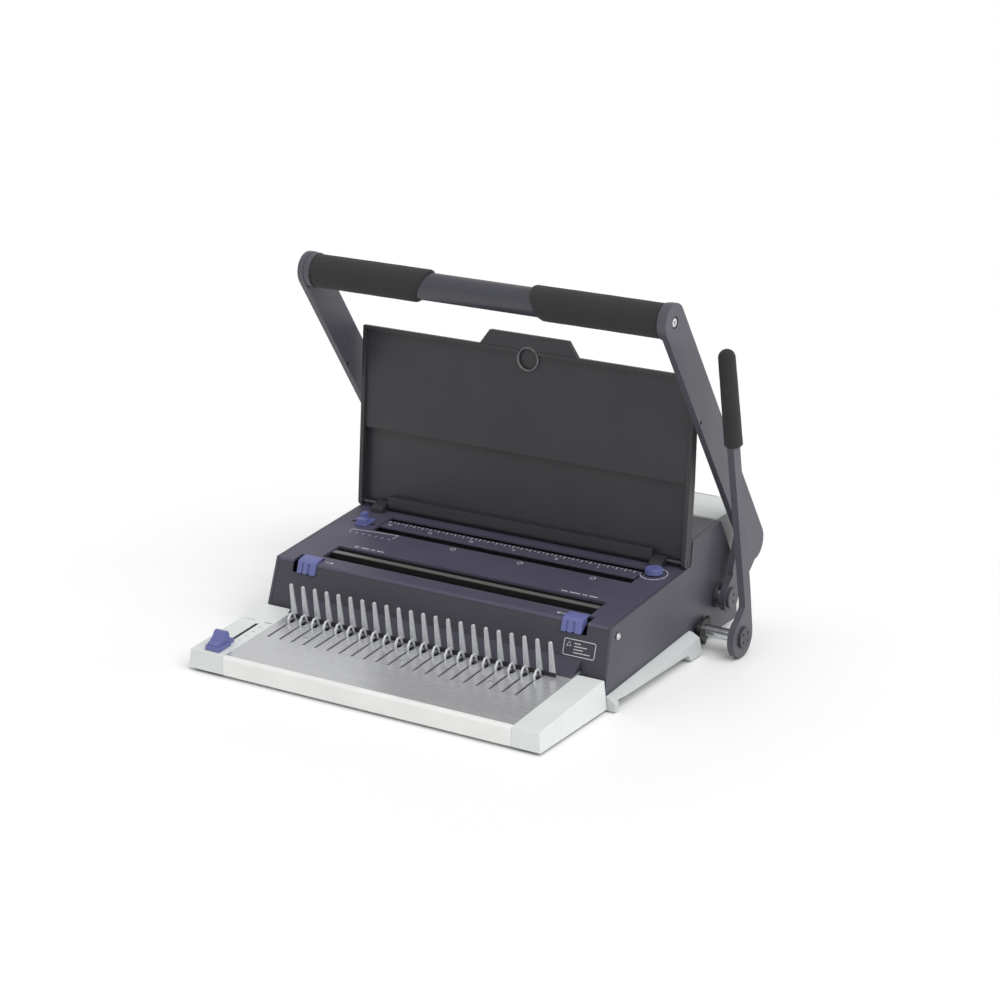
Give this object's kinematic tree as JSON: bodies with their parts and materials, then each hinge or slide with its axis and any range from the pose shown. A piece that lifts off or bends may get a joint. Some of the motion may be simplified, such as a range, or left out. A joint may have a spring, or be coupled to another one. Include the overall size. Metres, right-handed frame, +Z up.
{
  "type": "comb binding machine",
  "caption": "Desktop machine with a U-shaped punch handle, a row of comb fingers over a steel work plate, a side comb-opening lever and a tilting sheet support.",
  "frame": {"origin": "on the rest surface under the middle of the row of comb fingers", "axes": "+X to the operator's right along the comb row, +Y to the rear, +Z up"},
  "size_m": [0.4647, 0.43, 0.3755],
  "materials": {
    "case_paint": "satin grey-violet powder coat",
    "deck_plastic": "fine moulded texture, blue-grey",
    "front_plastic": "fine moulded texture, dark grey-violet",
    "cover_plastic": "fine moulded texture, charcoal",
    "black_plastic": "satin black",
    "light_plastic": "satin light grey",
    "rail_plastic": "satin mid grey",
    "white_plastic": "satin off-white",
    "plate_steel": "brushed along the plate",
    "finger_steel": "satin pressed steel",
    "bright_steel": "bright plated",
    "dark_steel": "blackened steel, satin",
    "arm_paint": "satin grey-violet paint",
    "tube_paint": "satin dark paint",
    "grip_foam": "closed-cell foam",
    "foot_rubber": "matt",
    "control_blue": "satin blue",
    "bush_plastic": "dark bearing plastic",
    "spring_steel": "oiled spring wire"
  },
  "bodies": {
    "chassis": {"base_pan": "light_plastic", "foot_pads": "foot_rubber", "tray_block_left": "light_plastic", "tray_block_right": "light_plastic", "front_rail": "white_plastic", "work_plate": "plate_steel", "panel_screws": "bright_steel", "comb_fingers": "finger_steel", "finger_strip": "dark_steel", "ledge_ramp": "deck_plastic", "front_panel": "front_plastic", "side_panel_left": "case_paint", "side_panel_right": "case_paint", "side_rail_left": "rail_plastic", "side_rail_right": "rail_plastic", "top_panel": "deck_plastic", "wire_trough": "black_plastic", "scale_ruler": "deck_plastic", "hinge_rest_left": "cover_plastic", "hinge_rest_right": "cover_plastic", "cover_hinge_pins": "dark_steel", "rear_top_panel": "case_paint", "rear_panel": "case_paint", "storage_bin": "light_plastic", "die_plate": "dark_steel", "punch_guide_plate": "dark_steel", "punch_end_blocks": "dark_steel", "guide_rods": "bright_steel", "handle_return_springs": "spring_steel", "shaft_bushes": "bush_plastic", "shaft_collar": "black_plastic"},
    "handle": {"handle_arm_left": "arm_paint", "handle_arm_right": "arm_paint", "handle_tube": "tube_paint", "handle_grip_left": "grip_foam", "handle_grip_right": "grip_foam", "handle_collars": "arm_paint", "handle_end_screws": "bright_steel", "handle_shaft": "bright_steel", "pivot_bosses": "arm_paint", "punch_cams": "dark_steel"},
    "ram": {"punch_ram": "dark_steel", "punch_pins": "bright_steel", "closing_bar": "finger_steel"},
    "opener": {"opener_shaft": "bright_steel", "opener_sectors": "dark_steel", "comb_lever": "arm_paint", "comb_lever_grip": "grip_foam", "lever_boss": "dark_steel"},
    "hooks": {"hook_slide": "dark_steel", "comb_hooks": "finger_steel", "opener_racks": "dark_steel"},
    "slider": {"size_slider": "control_blue"},
    "guide": {"edge_guide": "control_blue"},
    "dial": {"margin_dial": "control_blue"},
    "left_latch": {"latch_left": "control_blue"},
    "right_latch": {"latch_right": "control_blue"},
    "cover": {"cover_panel": "cover_plastic"},
    "lid": {"bin_lid": "light_plastic"},
    "drawer": {"chip_drawer": "black_plastic"}
  },
  "joints": [
    {"name": "handle_swing", "type": "hinge", "parent": "chassis", "child": "handle", "pos_m": [0, 0.245, 0.044], "axis": [1, 0, 0], "range_deg": [0, 64], "stiffness_Nm_per_rad": 3, "springref_deg": -114.59},
    {"name": "ram_slide", "type": "slide", "parent": "chassis", "child": "ram", "axis": [0, -1, 0], "range_m": [0, 0.012]},
    {"name": "comb_lever_swing", "type": "hinge", "parent": "chassis", "child": "opener", "pos_m": [0, 0.205, 0.021], "axis": [1, 0, 0], "range_deg": [0, 75]},
    {"name": "hook_travel", "type": "slide", "parent": "chassis", "child": "hooks", "axis": [0, -1, 0], "range_m": [0, 0.0262]},
    {"name": "size_slide", "type": "slide", "parent": "chassis", "child": "slider", "axis": [0, 0.9966, 0.0818], "range_m": [0, 0.045]},
    {"name": "edge_guide_slide", "type": "slide", "parent": "chassis", "child": "guide", "axis": [1, 0, 0], "range_m": [-0.008, 0.006]},
    {"name": "margin_dial_turn", "type": "hinge", "parent": "chassis", "child": "dial", "pos_m": [0.171, 0.157, 0.089], "axis": [0, 0, 1], "range_deg": [-120, 120]},
    {"name": "latch_left_slide", "type": "slide", "parent": "chassis", "child": "left_latch", "axis": [1, 0, 0], "range_m": [-0.006, 0]},
    {"name": "latch_right_slide", "type": "slide", "parent": "chassis", "child": "right_latch", "axis": [1, 0, 0], "range_m": [0, 0.0045]},
    {"name": "cover_hinge", "type": "hinge", "parent": "chassis", "child": "cover", "pos_m": [0, 0.18058, 0.09608], "axis": [1, 0, 0], "range_deg": [0, 99]},
    {"name": "bin_lid_hinge", "type": "hinge", "parent": "chassis", "child": "lid", "pos_m": [0, 0.317, 0.1185], "axis": [-1, 0, 0], "range_deg": [0, 90]},
    {"name": "drawer_slide", "type": "slide", "parent": "chassis", "child": "drawer", "axis": [-1, 0, 0], "range_m": [0, 0.2]}
  ],
  "couplings": [
    {"joint": "ram_slide", "follows": "handle_swing", "m_per_rad": 0.010743},
    {"joint": "hook_travel", "follows": "comb_lever_swing", "m_per_rad": 0.02}
  ]
}
